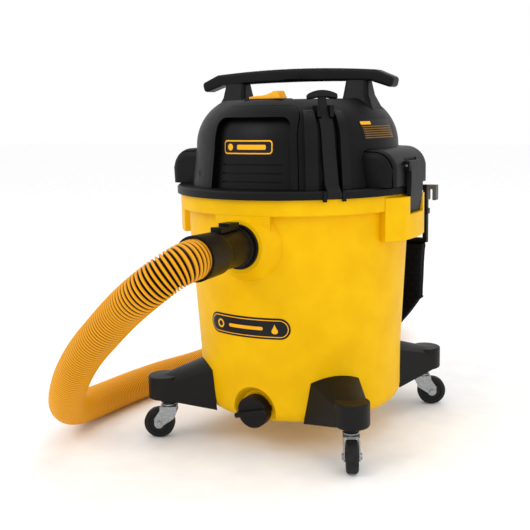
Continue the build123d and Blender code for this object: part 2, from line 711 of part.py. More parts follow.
def make_strap():
    """The rubber hose strap with its T grip, its pin and the fork that holds its neck."""
    with BuildPart() as strap:
        with BuildSketch(Plane.XZ):
            with BuildLine():
                Polyline((197, 418.2), (204, 418.2), (190, 430), (175.6, 486))
                ThreePointArc((175.6, 486), (171.6, 508), (161.6, 526))
                Polyline((161.6, 526), (156, 536), (148, 552), (144, 552), (152.6, 534.5), (159, 523))
                ThreePointArc((159, 523), (168, 506), (171.6, 486))
                Polyline((171.6, 486), (183, 428), (197, 418.2))
            make_face()
        extrude(amount=10.5, both=True)
        for low, high in ((-12, -6), (6, 12)):
            add(block((100, low, 527), (200, high, 600)), mode=Mode.SUBTRACT)
        with BuildSketch(Plane.XZ):
            with BuildLine():
                Polyline((143.4, 547), (149.4, 547), (146, 559), (140, 559), close=True)
            make_face()
        extrude(amount=6, both=True)
        with BuildSketch(Plane(origin=(142.9, 0, 562.6), x_dir=(0, 1, 0), z_dir=(0.94, 0, 0.34))):
            with BuildLine():
                Polyline((-23.5, -7), (-23.5, -1))
                ThreePointArc((-23.5, -1), (0, 5.5), (23.5, -1))
                Polyline((23.5, -1), (23.5, -7), (16, -6), (8, -4.5), (-8, -4.5), (-16, -6), (-23.5, -7))
            make_face()
        extrude(amount=4, both=True)
        add(rod_y(5.2, -11.5, 11.5, STRAP_PIN_R, STRAP_PIN_Z))
        add(rod_y(2 + RUNNING, -20, 20, STRAP_PIN_R, STRAP_PIN_Z), mode=Mode.SUBTRACT)
    finish(strap.part.rotate(Axis.Z, STRAP_ANGLE), "hose_strap")
    finish(rod_y(2, -17.4, 17.4, STRAP_PIN_R, STRAP_PIN_Z).rotate(Axis.Z, STRAP_ANGLE), "strap_pin")
    with BuildPart() as keeper:
        for low, high in ((-13, -6.6), (6.6, 13)):
            add(block((138, low, 529), (163, high, 546)))
        add(dome(0.1), mode=Mode.SUBTRACT)
    finish(keeper.part.rotate(Axis.Z, STRAP_ANGLE), "strap_keeper")


def make_latch(name, side):
    """A latch: bowed plate on a knuckle at its top, with a lip that drops into the bracket."""
    with BuildPart() as latch:
        with BuildSketch(Plane.XZ):
            with BuildLine():
                Polyline((203.9, 446), (203.9, 378), (202, 377), (202, 384), (201.7, 384), (201.7, 376.8),
                         (206.5, 376.8))
                ThreePointArc((206.5, 376.8), (211.3, 412), (210.8, 452))
                Polyline((210.8, 452), (210.4, 459), (204, 459), (199.6, 456), (199.6, 448), (203.9, 446))
            make_face()
        extrude(amount=LATCH_HALF, both=True)
        add(rod_y(2 + RUNNING, -40, 40, LATCH_X, LATCH_Z), mode=Mode.SUBTRACT)
    part = latch.part if side > 0 else latch.part.rotate(Axis.Z, 180)
    finish(part, name)


def make_latch_pins():
    """The two pins that the latches turn on."""
    with BuildPart() as pins:
        for side in (-1, 1):
            add(rod_y(2, -33.4, 33.4, side * LATCH_X, LATCH_Z))
    finish(pins.part, "latch_pins")


# Motor, fan and filter --------------------------------------------------------------
def make_motor():
    """Fan housing, motor cup, stator, bearings, and the armature and impeller that turn."""
    finish(lathe([(75, 415), (78, 415), (78, 452), (11, 452), (11, 461), (8, 461), (8, 449), (75, 449)]),
           "fan_housing")
    finish(lathe([(49, 452), (MOTOR_R, 452), (MOTOR_R, 541), (11, 541), (11, 526), (14, 526), (14, 537),
                  (49, 537)]), "motor_housing")
    with BuildPart() as stator:
        with BuildSketch(Plane.XY.offset(474)):
            Circle(48.9)
            Circle(30, mode=Mode.SUBTRACT)
            with PolarLocations(37, 4):
                SlotOverall(22, 5, rotation=90, mode=Mode.SUBTRACT)
        extrude(amount=36)
    finish(stator.part, "stator")
    with BuildPart() as bearings:
        add(upright(SHAFT_R + RUNNING, 7.95, 453, 460))
        add(upright(SHAFT_R + RUNNING, 10.95, 527, 534))
    finish(bearings.part, "motor_bearings")
    with BuildPart() as armature:
        add(lathe([(0, 419), (SHAFT_R, 419), (SHAFT_R, 476), (29, 476), (29, 508), (12, 508), (12, 512),
                   (15, 512), (15, 522), (SHAFT_R, 522), (SHAFT_R, 535), (0, 535)]))
        with BuildSketch(Plane.XY.offset(476)):
            with PolarLocations(26.5, 12):
                Rectangle(6, 2.5)
        extrude(amount=32, mode=Mode.SUBTRACT)
    finish(armature.part, "armature")
    with BuildPart() as impeller:
        add(lathe([(SHAFT_R + 0.02, 421), (11, 421), (11, 441), (68, 441), (68, 443.5),
                   (SHAFT_R + 0.02, 443.5)]))
        with BuildSketch(Plane.XY.offset(424)):
            with PolarLocations(39, 9):
                Rectangle(54, 2.5, rotation=28)
        extrude(amount=17.5)
        add(upright(SHAFT_R + 0.02, 69, 420, 424), mode=Mode.SUBTRACT)
        add(upright(68, 90, 420, 445), mode=Mode.SUBTRACT)
        add(upright(0, SHAFT_R + 0.02, 420, 445), mode=Mode.SUBTRACT)
    finish(impeller.part, "impeller")
    with BuildPart() as blower:
        add(barrel([(140, 24), (140, 30), (190, 30), (192, 28.5), (192, 24)], 462))
    finish(blower.part, "blower_port")
    finish(rod_y(9, 150, 184, -95, 445), "cord_inlet")


def make_filter():
    """Float cage and ball under the air intake, with the cartridge filter and its retainer."""
    with BuildPart() as cage:
        add(upright(20, 46, 405, 411))
        add(upright(0, 44, 256, 262))
        with BuildSketch(Plane.XY.offset(262)):
            with PolarLocations(41, 10):
                Circle(2.5)
        extrude(amount=143)
        add(upright(0, SHAFT_R, 224, 256))
    finish(cage.part, "filter_cage")
    with BuildPart() as ball:
        with Locations((0, 0, 286.4)):
            Sphere(24)
    finish(ball.part, "float_ball")
    folds = 36
    with BuildPart() as cartridge:
        with BuildSketch(Plane.XY.offset(246)):
            with BuildLine():
                corners = []
                for step in range(2 * folds):
                    corners.append(polar(76 if step % 2 else 56, step * 180 / folds))
                Polyline(*corners, close=True)
            make_face()
            Circle(50, mode=Mode.SUBTRACT)
        extrude(amount=154)
        add(upright(50, 78, 400, 410.7))
        add(upright(8, 78, 240, 246))
    finish(cartridge.part, "cartridge_filter")
    with BuildPart() as retainer:
        with BuildSketch(Plane.XY.offset(228)):
            Circle(34)
            Circle(SHAFT_R + RUNNING, mode=Mode.SUBTRACT)
        extrude(amount=11.7)
        with BuildSketch(Plane.XY.offset(214)):
            RectangleRounded(56, 9, 4)
            Circle(SHAFT_R + RUNNING, mode=Mode.SUBTRACT)
        extrude(amount=14)
    finish(retainer.part, "filter_retainer")


def main():
    """Make every piece."""
    make_drum()
    make_inlet()
    make_drain()
    for name, angle in CORNERS.items():
        make_foot(f"foot_{name}", angle)
        make_caster(name, angle, CASTER_HEADINGS[name])
    make_foot_screws()
    make_caster_stems()
    make_bag_hanger()
    make_bag()
    make_hose()
    make_hose_lock()
    make_head_base()
    make_head_housing()
    make_front_panel()
    make_handle()
    make_switch()
    make_strap()
    make_latch("latch_right", 1)
    make_latch("latch_left", -1)
    make_latch_pins()
    make_motor()
    make_filter()


main()
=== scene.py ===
# %% [markdown]
# # A shop vacuum, dressed for its portrait
# The machine's hard parts come ready-made as a fixed frame: drum, head, feet, casters, latches. This
# lesson gives them their finishes, and makes what is soft or printed: the ribbed hose, the sewn bag
# and the plain plates. Everything is in metres, and the floor is at z = 0.

# %% Load the frame
import math

import bpy
import numpy as np
from mathutils import Matrix, Vector


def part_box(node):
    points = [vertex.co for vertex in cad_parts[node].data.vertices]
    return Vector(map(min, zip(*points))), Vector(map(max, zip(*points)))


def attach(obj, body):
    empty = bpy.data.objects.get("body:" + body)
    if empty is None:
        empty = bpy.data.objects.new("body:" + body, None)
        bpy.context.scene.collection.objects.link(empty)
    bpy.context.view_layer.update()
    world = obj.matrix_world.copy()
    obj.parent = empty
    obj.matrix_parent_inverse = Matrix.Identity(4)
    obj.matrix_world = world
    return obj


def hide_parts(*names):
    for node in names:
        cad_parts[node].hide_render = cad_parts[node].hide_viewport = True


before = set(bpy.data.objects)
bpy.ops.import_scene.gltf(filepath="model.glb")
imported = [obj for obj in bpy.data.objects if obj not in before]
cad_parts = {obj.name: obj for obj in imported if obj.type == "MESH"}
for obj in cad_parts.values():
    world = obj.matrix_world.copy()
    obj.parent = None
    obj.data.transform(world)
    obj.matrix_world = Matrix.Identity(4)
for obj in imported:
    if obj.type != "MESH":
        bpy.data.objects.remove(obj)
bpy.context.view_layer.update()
base_low, base_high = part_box("head_base")
AXIS_Y = (base_low.y + base_high.y) / 2
print("the drum's axis stands at y =", round(AXIS_Y, 4))

# %% [markdown]
# ## The camera
# A portrait of a product is taken from a little above and to one side. The camera stands off the
# machine's front right, looks slightly down, and its lens is shifted sideways a little, which frames
# the machine without turning the camera.

# %% Camera
CAMERA_PLACE = (0.6685, AXIS_Y - 1.3268, 0.5369)
CAMERA_TURN, CAMERA_PITCH, CAMERA_ROLL = 26.74, 9.93, -0.94     # degrees
camera = bpy.data.objects.new("camera", bpy.data.cameras.new("camera"))
bpy.context.scene.collection.objects.link(camera)
camera.data.lens = 59.42
camera.data.sensor_width = 36.0
camera.data.shift_x = -0.0654
turn, pitch, roll = (math.radians(v) for v in (CAMERA_TURN, CAMERA_PITCH, CAMERA_ROLL))
ahead = Vector((-math.sin(turn) * math.cos(pitch), math.cos(turn) * math.cos(pitch), -math.sin(pitch)))
level = Vector((math.cos(turn), math.sin(turn), 0))
above = level.cross(ahead)
side = math.cos(roll) * level + math.sin(roll) * above
above = -math.sin(roll) * level + math.cos(roll) * above
camera.matrix_world = Matrix.Translation(CAMERA_PLACE) @ Matrix((side, above, -ahead)).transposed().to_4x4()
bpy.context.scene.camera = camera

# %% [markdown]
# ## A helper for nodes, and one for colours
# A finish is a small network of shader nodes. One function adds a node, sets its properties and fills
# or links its inputs, so each finish below reads as a list of what it is made of. Colours are written
# as hex values as seen on a screen, and one function turns them into the linear light Blender uses.


# %% Node and colour helpers
def linear(code):
    """A screen colour such as "F6BE00" as linear RGBA: the standard curve is undone channel by channel."""
    channels = np.array([int(code[i:i + 2], 16) for i in (0, 2, 4)]) / 255
    undone = np.where(channels <= 0.04045, channels / 12.92, ((channels + 0.055) / 1.055) ** 2.4)
    return (*undone.tolist(), 1.0)


def add_node(material, kind, inputs=None, **settings):
    """Add one node of a kind to a material; inputs maps a socket's name to a value or to an output."""
    tree = material.node_tree
    made = tree.nodes.new("ShaderNode" + kind)
    for name, value in settings.items():
        setattr(made, name, value)
    for name, value in (inputs or {}).items():
        if isinstance(value, bpy.types.NodeSocket):
            tree.links.new(value, made.inputs[name])
        else:
            made.inputs[name].default_value = value
    return made


def new_material(name):
    """An empty material with its Principled shader already joined to the output."""
    material = bpy.data.materials.new(name)
    material.use_nodes = True
    material.node_tree.nodes.clear()
    shader = add_node(material, "BsdfPrincipled")
    add_node(material, "OutputMaterial", {"Surface": shader.outputs["BSDF"]})
    return material, shader


def link(material, output, shader, socket):
    """Join a node's output to one of the shader's sockets."""
    material.node_tree.links.new(output, shader.inputs[socket])


MM = 0.001


def grain(material, size, detail=2.0):
    """Noise in object space whose blotches are about size metres across."""
    place = add_node(material, "TexCoord")
    return add_node(material, "TexNoise", {"Vector": place.outputs["Object"], "Scale": 1 / size,
                                           "Detail": detail})


def two_tones(material, factor, dark, light, low=0.35, high=0.65):
    """A ramp between two hex colours, driven by a 0 to 1 pattern."""
    ramp = add_node(material, "ValToRGB", {"Fac": factor})
    ramp.color_ramp.elements[0].position = low
    ramp.color_ramp.elements[0].color = linear(dark)
    ramp.color_ramp.elements[1].position = high
    ramp.color_ramp.elements[1].color = linear(light)
    return ramp.outputs["Color"]


def spread(material, factor, low, high):
    """A 0 to 1 pattern mapped onto a range of numbers."""
    mapped = add_node(material, "MapRange", {"Value": factor, "To Min": low, "To Max": high})
    return mapped.outputs["Result"]


# %% [markdown]
# ## Moulded plastics
# Drum, head, handle and feet are injection moulded. Such a skin has three scales of detail: a spark-eroded
# grain well under a millimetre, slow waves where the plastic shrank unevenly, and edges rounded by the
# tool. The grain is a noise feeding a bump, the waves are a noise that shifts the tone a little, and the
# Bevel node rounds the edges in the shading, because a real moulding has no knife edges and every one of
# them catches a line of light.


# %% Moulded plastic
def moulded(name, dark, light, roughness, shine=0.2, texture=0.8 * MM, relief=0.03 * MM, edge=0.7 * MM):
    """Injection-moulded polypropylene or ABS: two close tones, a fine grain and softly rounded edges."""
    material, shader = new_material(name)
    waves = grain(material, 45 * MM)
    link(material, two_tones(material, waves.outputs["Fac"], dark, light), shader, "Base Color")
    smears = grain(material, 14 * MM, detail=4.0)
    gloss = spread(material, smears.outputs["Fac"], roughness - 0.05, roughness + 0.06)
    link(material, gloss, shader, "Roughness")
    shader.inputs["Specular IOR Level"].default_value = shine
    rounded = add_node(material, "Bevel", {"Radius": edge}, samples=4)
    fine = grain(material, texture)
    bump = add_node(material, "Bump", {"Height": fine.outputs["Fac"], "Distance": relief, "Strength": 0.6,
                                       "Normal": rounded.outputs["Normal"]})
    link(material, bump.outputs["Normal"], shader, "Normal")
    return material


SMOOTH, DULL = 0.008 * MM, 0.04 * MM        # relief of a polished and of an eroded mould
drum_polypropylene = moulded("drum_polypropylene", "E6B000", "ECB903", 0.45, 0.08, relief=SMOOTH,
                             edge=1.2 * MM)
head_abs = moulded("head_abs", "060607", "0A0A0B", 0.46, 0.15)
panel_abs = moulded("panel_abs", "050506", "08080A", 0.4, 0.14, relief=SMOOTH)
latch_abs = moulded("latch_abs", "0E0E10", "151517", 0.5, 0.2, relief=DULL)
foot_polypropylene = moulded("foot_polypropylene", "090808", "0D0C0C", 0.48, 0.2, relief=DULL,
                             edge=1.2 * MM)
collar_polypropylene = moulded("collar_polypropylene", "090807", "0E0D0C", 0.4, 0.16, relief=SMOOTH)
hook_nylon = moulded("hook_nylon", "4A4A4D", "58585B", 0.5, 0.3, relief=DULL)
switch_polycarbonate = moulded("switch_polycarbonate", "F6A600", "FDB614", 0.3, 0.3, relief=SMOOTH)
inner_nylon = moulded("inner_nylon", "232326", "2E2E32", 0.5, 0.3)
float_polyethylene = moulded("float_polyethylene", "DCDBD6", "E8E7E3", 0.42, 0.3, relief=SMOOTH)
plate_yellow = moulded("plate_yellow", "F3A80C", "FBB41C", 0.35, 0.2, relief=SMOOTH, edge=0.3 * MM)
plate_black = moulded("plate_black", "0C0C0C", "121212", 0.4, 0.2, relief=SMOOTH, edge=0.3 * MM)
plate_amber = moulded("plate_amber", "6B4A12", "7A5618", 0.45, 0.2, relief=SMOOTH, edge=0.3 * MM)


# %% [markdown]
# ## Rubber, steel and paper
# The hose strap and seals are moulded rubber: darker and duller than plastic. The casters are pressed
# from zinc-plated sheet, whose plating crystallises into faint patches. The wheels are hard rubber with
# a ground tread. The filter is pleated paper with visible fibres.


# %% Rubber, steel, paper
def rubber(name, dark, light):
    """Moulded rubber: nearly black, dull, with a powdery bloom in patches."""
    material, shader = new_material(name)
    bloom = grain(material, 9 * MM, detail=5.0)
    link(material, two_tones(material, bloom.outputs["Fac"], dark, light), shader, "Base Color")
    link(material, spread(material, bloom.outputs["Fac"], 0.52, 0.7), shader, "Roughness")
    shader.inputs["Specular IOR Level"].default_value = 0.2
    rounded = add_node(material, "Bevel", {"Radius": 0.8 * MM}, samples=4)
    fine = grain(material, 0.6 * MM)
    bump = add_node(material, "Bump", {"Height": fine.outputs["Fac"], "Distance": 0.05 * MM, "Strength": 0.6,
                                       "Normal": rounded.outputs["Normal"]})
    link(material, bump.outputs["Normal"], shader, "Normal")
    return material


def plated_steel(name, dark, light, roughness):
    """Zinc-plated sheet steel: a metal whose patches of crystals differ a little in tone and gloss."""
    material, shader = new_material(name)
    place = add_node(material, "TexCoord")
    crystals = add_node(material, "TexVoronoi", {"Vector": place.outputs["Object"], "Scale": 1 / (2.5 * MM)})
    patch = crystals.outputs["Distance"]
    link(material, two_tones(material, patch, dark, light, 0.1, 0.9), shader, "Base Color")
    link(material, spread(material, patch, roughness - 0.06, roughness + 0.08), shader, "Roughness")
    shader.inputs["Metallic"].default_value = 0.85
    rounded = add_node(material, "Bevel", {"Radius": 0.5 * MM}, samples=4)
    fine = grain(material, 0.8 * MM)
    bump = add_node(material, "Bump", {"Height": fine.outputs["Fac"], "Distance": 0.02 * MM, "Strength": 0.5,
                                       "Normal": rounded.outputs["Normal"]})
    link(material, bump.outputs["Normal"], shader, "Normal")
    return material


def pleated_paper():
    """Filter paper: off-white, fully matte, with fibres about half a millimetre apart."""
    material, shader = new_material("filter_paper")
    fibres = grain(material, 0.6 * MM, detail=6.0)
    link(material, two_tones(material, fibres.outputs["Fac"], "D9D4C2", "EFEBDD"), shader, "Base Color")
    shader.inputs["Roughness"].default_value = 0.95
    bump = add_node(material, "Bump", {"Height": fibres.outputs["Fac"], "Distance": 0.1 * MM})
    link(material, bump.outputs["Normal"], shader, "Normal")
    return material


strap_rubber = rubber("strap_rubber", "0A0A0B", "101012")
wheel_rubber = rubber("wheel_rubber", "141415", "1E1E20")
zinc_plate = plated_steel("zinc_plate", "84898C", "AEB3B6", 0.34)
motor_steel = plated_steel("motor_steel", "5E5C59", "7B7874", 0.42)
filter_paper = pleated_paper()

# %% [markdown]
# ## Dressing the ready-made parts
# Each part gets its finish by name. The parts come as loose triangles, so two modifiers tidy what the eye
# sees without touching the mesh: Weld joins the triangles, and Edge Split keeps true corners crisp while
# smooth shading flows over the rest.

# %% Finishes by part
CORNERS = ("front_right", "front_left", "rear_left", "rear_right")
finishes = {
    drum_polypropylene: ["drum"],
    head_abs: ["head_housing", "head_base", "handle", "switch_bezel", "strap_keeper", "blower_port",
               "cord_inlet", "bag_hanger"],
    panel_abs: ["front_panel"],
    latch_abs: ["latch_left", "latch_right"],
    foot_polypropylene: [f"foot_{corner}" for corner in CORNERS],
    collar_polypropylene: ["inlet_port", "inlet_deflector", "hose_collar", "hose_lock", "hose_end_cuff",
                           "drain_cap", "drain_spout"],
    hook_nylon: ["hanger_hooks"],
    switch_polycarbonate: ["power_switch"],
    inner_nylon: ["switch_module", "fan_housing", "motor_housing", "impeller", "filter_cage",
                  "filter_retainer"],
    float_polyethylene: ["float_ball"],
    strap_rubber: ["hose_strap", "head_gasket", "drain_gasket"],
    wheel_rubber: [f"wheel_{corner}" for corner in CORNERS],
    zinc_plate: ["caster_stems", "foot_screws", "housing_screws", "handle_screws", "latch_pins", "strap_pin",
                 "motor_bearings", *(f"caster_fork_{corner}" for corner in CORNERS),
                 *(f"wheel_axle_{corner}" for corner in CORNERS)],
    motor_steel: ["stator", "armature"],
    filter_paper: ["cartridge_filter"],
}


def smooth(piece, corner_degrees=32):
    """Shade a piece smoothly, but keep edges sharper than an angle crisp."""
    piece.data.polygons.foreach_set("use_smooth", [True] * len(piece.data.polygons))
    weld = piece.modifiers.new("weld", "WELD")
    weld.merge_threshold = 0.00001
    split = piece.modifiers.new("corners", "EDGE_SPLIT")
    split.split_angle = math.radians(corner_degrees)


for finish, names in finishes.items():
    for name in names:
        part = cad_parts[name]
        part.data.materials.clear()
        part.data.materials.append(finish)
        smooth(part)
print("dressed", sum(len(names) for names in finishes.values()), "parts")

# %% [markdown]
# ## Surfaces from formulas
# New pieces are grids of points worked out with numpy. `grid_mesh` turns an array of rows and columns of
# points into a mesh, joining the last column to the first where the surface goes all the way round, and
# closing either end with a fan of triangles to one middle point where it has an end.


# %% Grid helper
def grid_mesh(name, points, finish, body, around=False, cap_start=False, cap_end=False, colour=None):
    """A mesh through points[row, column]; quads join neighbours, and a fan closes a capped end."""
    rows, columns = points.shape[:2]
    index = np.arange(rows * columns).reshape(rows, columns)
    across = np.concatenate([index, index[:, :1]], axis=1) if around else index
    quads = np.stack([across[:-1, :-1], across[:-1, 1:], across[1:, 1:], across[1:, :-1]], axis=-1)
    faces = quads.reshape(-1, 4).tolist()
    vertices = points.reshape(-1, 3)
    for capped, row, order in ((cap_start, 0, 1), (cap_end, rows - 1, -1)):
        if capped:
            middle = len(vertices)
            vertices = np.vstack([vertices, points[row].mean(axis=0)])
            ring = across[row]
            fan = np.stack([np.full(len(ring) - 1, middle), ring[1:], ring[:-1]], axis=-1)[:, ::order]
            faces += fan.tolist()
    mesh = bpy.data.meshes.new(name)
    mesh.from_pydata(vertices.tolist(), [], faces)
    mesh.polygons.foreach_set("use_smooth", [True] * len(mesh.polygons))
    # Optional per-point values kept as an attribute; the hose uses them to paint shade into its grooves.
    if colour is not None:
        layer = mesh.attributes.new("groove_shade", "FLOAT", "POINT")
        values = np.zeros(len(vertices), np.float32)
        values[:rows * columns] = colour.reshape(-1)
        layer.data.foreach_set("value", values)
    mesh.materials.append(finish)
    piece = bpy.data.objects.new(name, mesh)
    bpy.context.scene.collection.objects.link(piece)
    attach(piece, body)
    return piece


def outward(piece):
    """Turn every face of a closed piece outwards."""
    bpy.context.view_layer.objects.active = piece
    bpy.ops.object.select_all(action="DESELECT")
    piece.select_set(True)
    bpy.ops.object.mode_set(mode="EDIT")
    bpy.ops.mesh.select_all(action="SELECT")
    bpy.ops.mesh.normals_make_consistent(inside=False)
    bpy.ops.object.mode_set(mode="OBJECT")


# %% [markdown]
# ## The hose
# The hose is 58 mm across its ribs and lies from the port to the floor and round behind the machine. Its
# centre line is one smooth NURBS curve. The wall is a ring carried along that curve whose radius dips once
# per rib. Where the hose is stretched, near the port, ribs are far apart and their deep grooves are painted
# nearly black as painted shade; where it rests on the floor they close up, and the grooves get only fine
# orange lines of painted shade.

# %% The hose's route
HOSE_ROUTE = [
    (0, -0.304, 0.338), (0, -0.334, 0.338), (-0.015, -0.358, 0.327), (-0.039, -0.373, 0.307),
    (-0.067, -0.374, 0.286), (-0.103, -0.362, 0.261), (-0.143, -0.352, 0.228), (-0.190, -0.338, 0.189),
    (-0.229, -0.324, 0.148), (-0.264, -0.302, 0.107), (-0.303, -0.265, 0.064), (-0.333, -0.204, 0.036),
    (-0.340, -0.123, 0.0292), (-0.336, -0.042, 0.0292), (-0.325, 0.037, 0.0292), (-0.302, 0.112, 0.0292),
    (-0.291, 0.190, 0.0292), (-0.302, 0.268, 0.0292), (-0.285, 0.350, 0.0292), (-0.225, 0.418, 0.0292),
    (-0.135, 0.432, 0.0292), (-0.062, 0.475, 0.0292), (-0.048, 0.560, 0.0292), (-0.085, 0.645, 0.0292),
    (-0.148, 0.712, 0.030), (-0.216, 0.762, 0.032),
]
HOSE_R = 0.029


def smooth_line(points):
    """Points along the NURBS curve that has these control points."""
    curve = bpy.data.curves.new("route", "CURVE")
    curve.dimensions = "3D"
    spline = curve.splines.new("NURBS")
    spline.points.add(len(points) - 1)
    spline.points.foreach_set("co", np.array([(*p, 1.0) for p in points], np.float32).ravel())
    spline.order_u = 3
    spline.use_endpoint_u = True
    spline.resolution_u = 24
    carrier = bpy.data.objects.new("route", curve)
    bpy.context.scene.collection.objects.link(carrier)
    line = bpy.data.meshes.new_from_object(carrier)
    found = np.empty(len(line.vertices) * 3, np.float32)
    line.vertices.foreach_get("co", found)
    bpy.data.objects.remove(carrier)
    bpy.data.meshes.remove(line)
    return found.reshape(-1, 3).astype(float)


route = np.array(HOSE_ROUTE) + (0, AXIS_Y, 0)
centre_line = smooth_line(route)
steps = np.linalg.norm(np.diff(centre_line, axis=0), axis=1)
travelled = np.concatenate([[0], np.cumsum(steps)])
print("hose line, m:", round(travelled[-1], 4))


# %% The hose's wall
def hose_material():
    """Soft ribbed plastic: yellow crests, and painted shade in the grooves from a per-point attribute that
    is 1 in an open groove and paints it black.
    """
    material, shader = new_material("hose_plastic")
    groove_shade = add_node(material, "Attribute", attribute_name="groove_shade")
    ramp = add_node(material, "ValToRGB", {"Fac": groove_shade.outputs["Fac"]})
    stops = ramp.color_ramp.elements
    # The ramp runs from the yellow crest at 0 to painted shade at 1: black in an open groove, dark orange in
    # a closed one.
    stops[0].position, stops[0].color = 0.0, linear("E39E06")
    stops[1].position, stops[1].color = 1.0, linear("060505")
    for position, code in ((0.25, "D48C04"), (0.42, "8F5602"), (0.6, "0E0A05")):
        stop = stops.new(position)
        stop.color = linear(code)
    link(material, ramp.outputs["Color"], shader, "Base Color")
    scuffs = grain(material, 6 * MM, detail=4.0)
    link(material, spread(material, scuffs.outputs["Fac"], 0.3, 0.46), shader, "Roughness")
    bump = add_node(material, "Bump", {"Height": scuffs.outputs["Fac"], "Distance": 0.05 * MM})
    link(material, bump.outputs["Normal"], shader, "Normal")
    shader.inputs["Specular IOR Level"].default_value = 0.2
    return material


OPEN_PITCH, CLOSED_PITCH = 0.0059, 0.0044
CLOSED_GROOVE, GROOVE_GROWTH = 0.0012, 0.0040       # depth of a closed groove, and how much opening adds
CLOSED_GROOVE_SHADE = 0.42                                  # how much painted shade a closed groove gets, from 0 to 1
HOSE_SIDES = 34
along = np.linspace(0, travelled[-1], 4000)
opened = np.interp(along, (0, 0.07, 0.24, 0.32, 0.38, 0.44), (0.5, 1.0, 1.0, 0.55, 0.15, 0.03))
pitch_here = CLOSED_PITCH + (OPEN_PITCH - CLOSED_PITCH) * opened
phase = np.concatenate([[0], np.cumsum(np.diff(along) / pitch_here[1:])])
ribs = int(phase[-1])
share = np.array([0.0, 0.2, 0.36, 0.46, 0.54, 0.64, 0.8])       # where a rib's rings stand in its pitch
ring_phase = (np.arange(ribs)[:, None] + share[None, :]).ravel()
ring_s = np.interp(ring_phase, phase * ribs / phase[-1], along)
ring_s[-1] = travelled[-1]
ring_open = np.interp(ring_s, along, opened)
groove = np.tile(np.array([0, 0.06, 0.75, 1, 1, 0.75, 0.06]), ribs)
depth = CLOSED_GROOVE + GROOVE_GROWTH * ring_open
centre = np.stack([np.interp(ring_s, travelled, centre_line[:, i]) for i in range(3)], axis=-1)
ahead_here = np.stack([np.interp(ring_s + 0.002, travelled, centre_line[:, i])
                       - np.interp(ring_s - 0.002, travelled, centre_line[:, i]) for i in range(3)], axis=-1)
ahead_here /= np.linalg.norm(ahead_here, axis=1)[:, None]
across_here = np.cross(ahead_here, (0, 0, 1))
across_here /= np.linalg.norm(across_here, axis=1)[:, None]
above_here = np.cross(across_here, ahead_here)
angle = np.linspace(0, 2 * np.pi, HOSE_SIDES, endpoint=False)
radius = HOSE_R - depth * groove
wall = (centre[:, None, :]
        + radius[:, None, None] * (np.cos(angle)[None, :, None] * across_here[:, None, :]
                                   + np.sin(angle)[None, :, None] * above_here[:, None, :]))
# Painted shade in the grooves: a groove's deepest rings are painted black where the hose is open and dark
# orange where it is closed; crests stay yellow.
groove_shade = np.repeat((groove * (CLOSED_GROOVE_SHADE + (1 - CLOSED_GROOVE_SHADE) * ring_open))[:, None], HOSE_SIDES, axis=1)
hose = grid_mesh("ribbed_hose", wall, hose_material(), "drum", around=True, cap_start=True, cap_end=True,
                 colour=groove_shade)
outward(hose)
print("hose ribs:", ribs, "triangles:", 2 * len(hose.data.polygons))
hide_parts("hose")


# %% [markdown]
# ## The accessory bag
# The bag is sewn from black pack cloth and hangs open-topped on the frame behind the drum. Seen from
# above its plan is a rounded box; down its height the box narrows over a sewn bottom, and the cloth
# bellies outwards and creases between its seams. The shell is one grid: columns run round the plan,
# rows run down, and the bottom closes in a fan. Solidify then gives the cloth its thickness.


# %% Bag cloth
def woven_cloth():
    """Nylon pack cloth: a basket weave, drawn at 1.6 mm so that it shows, nearly without gloss."""
    material, shader = new_material("pack_cloth")
    place = add_node(material, "TexCoord")
    scale = 1 / (20 * 1.6 * MM)
    bands = [add_node(material, "TexWave", {"Vector": place.outputs["Object"], "Scale": scale},
                      wave_type="BANDS", bands_direction=way) for way in ("DIAGONAL", "Z")]
    weave = add_node(material, "Math", {0: bands[0].outputs["Fac"], 1: bands[1].outputs["Fac"]},
                     operation="MULTIPLY")
    tones = two_tones(material, weave.outputs["Value"], "050506", "0C0C0D", 0.1, 0.9)
    link(material, tones, shader, "Base Color")
    shader.inputs["Roughness"].default_value = 0.78
    shader.inputs["Specular IOR Level"].default_value = 0.08
    bump = add_node(material, "Bump", {"Height": weave.outputs["Value"], "Distance": 0.15 * MM})
    link(material, bump.outputs["Normal"], shader, "Normal")
    return material


pack_cloth = woven_cloth()
bag_low, bag_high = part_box("accessory_bag")
bag_middle = (bag_low + bag_high) / 2
half_width, half_depth = bag_high.x - 0.003, (bag_high.y - bag_low.y) / 2 - 0.002
BAG_FOOT = 0.100            # half the width of the sewn bottom
BAG_TAPER_Z = 0.192         # where the sides start to draw in
BAG_COLUMNS, BAG_ROWS = 128, 46


def bag_plan(height, inset=0.0):
    """Half width and half depth of the bag at a height: straight above, drawn in below the taper."""
    t = np.clip((BAG_TAPER_Z - height) / (BAG_TAPER_Z - bag_low.z), 0, 1)
    width = half_width - (half_width - BAG_FOOT) * t ** 1.15
    deep = half_depth * (1 - 0.22 * t ** 3)
    return width - inset, deep - inset


def superellipse(turn_angle, half_x, half_y, square=6.0):
    """A rounded box in plan: |x/a|^n + |y/b|^n = 1, walked by angle."""
    c, s = np.cos(turn_angle), np.sin(turn_angle)
    scale = (np.abs(c) ** square + np.abs(s) ** square) ** (-1 / square)
    return half_x * c * scale, half_y * s * scale


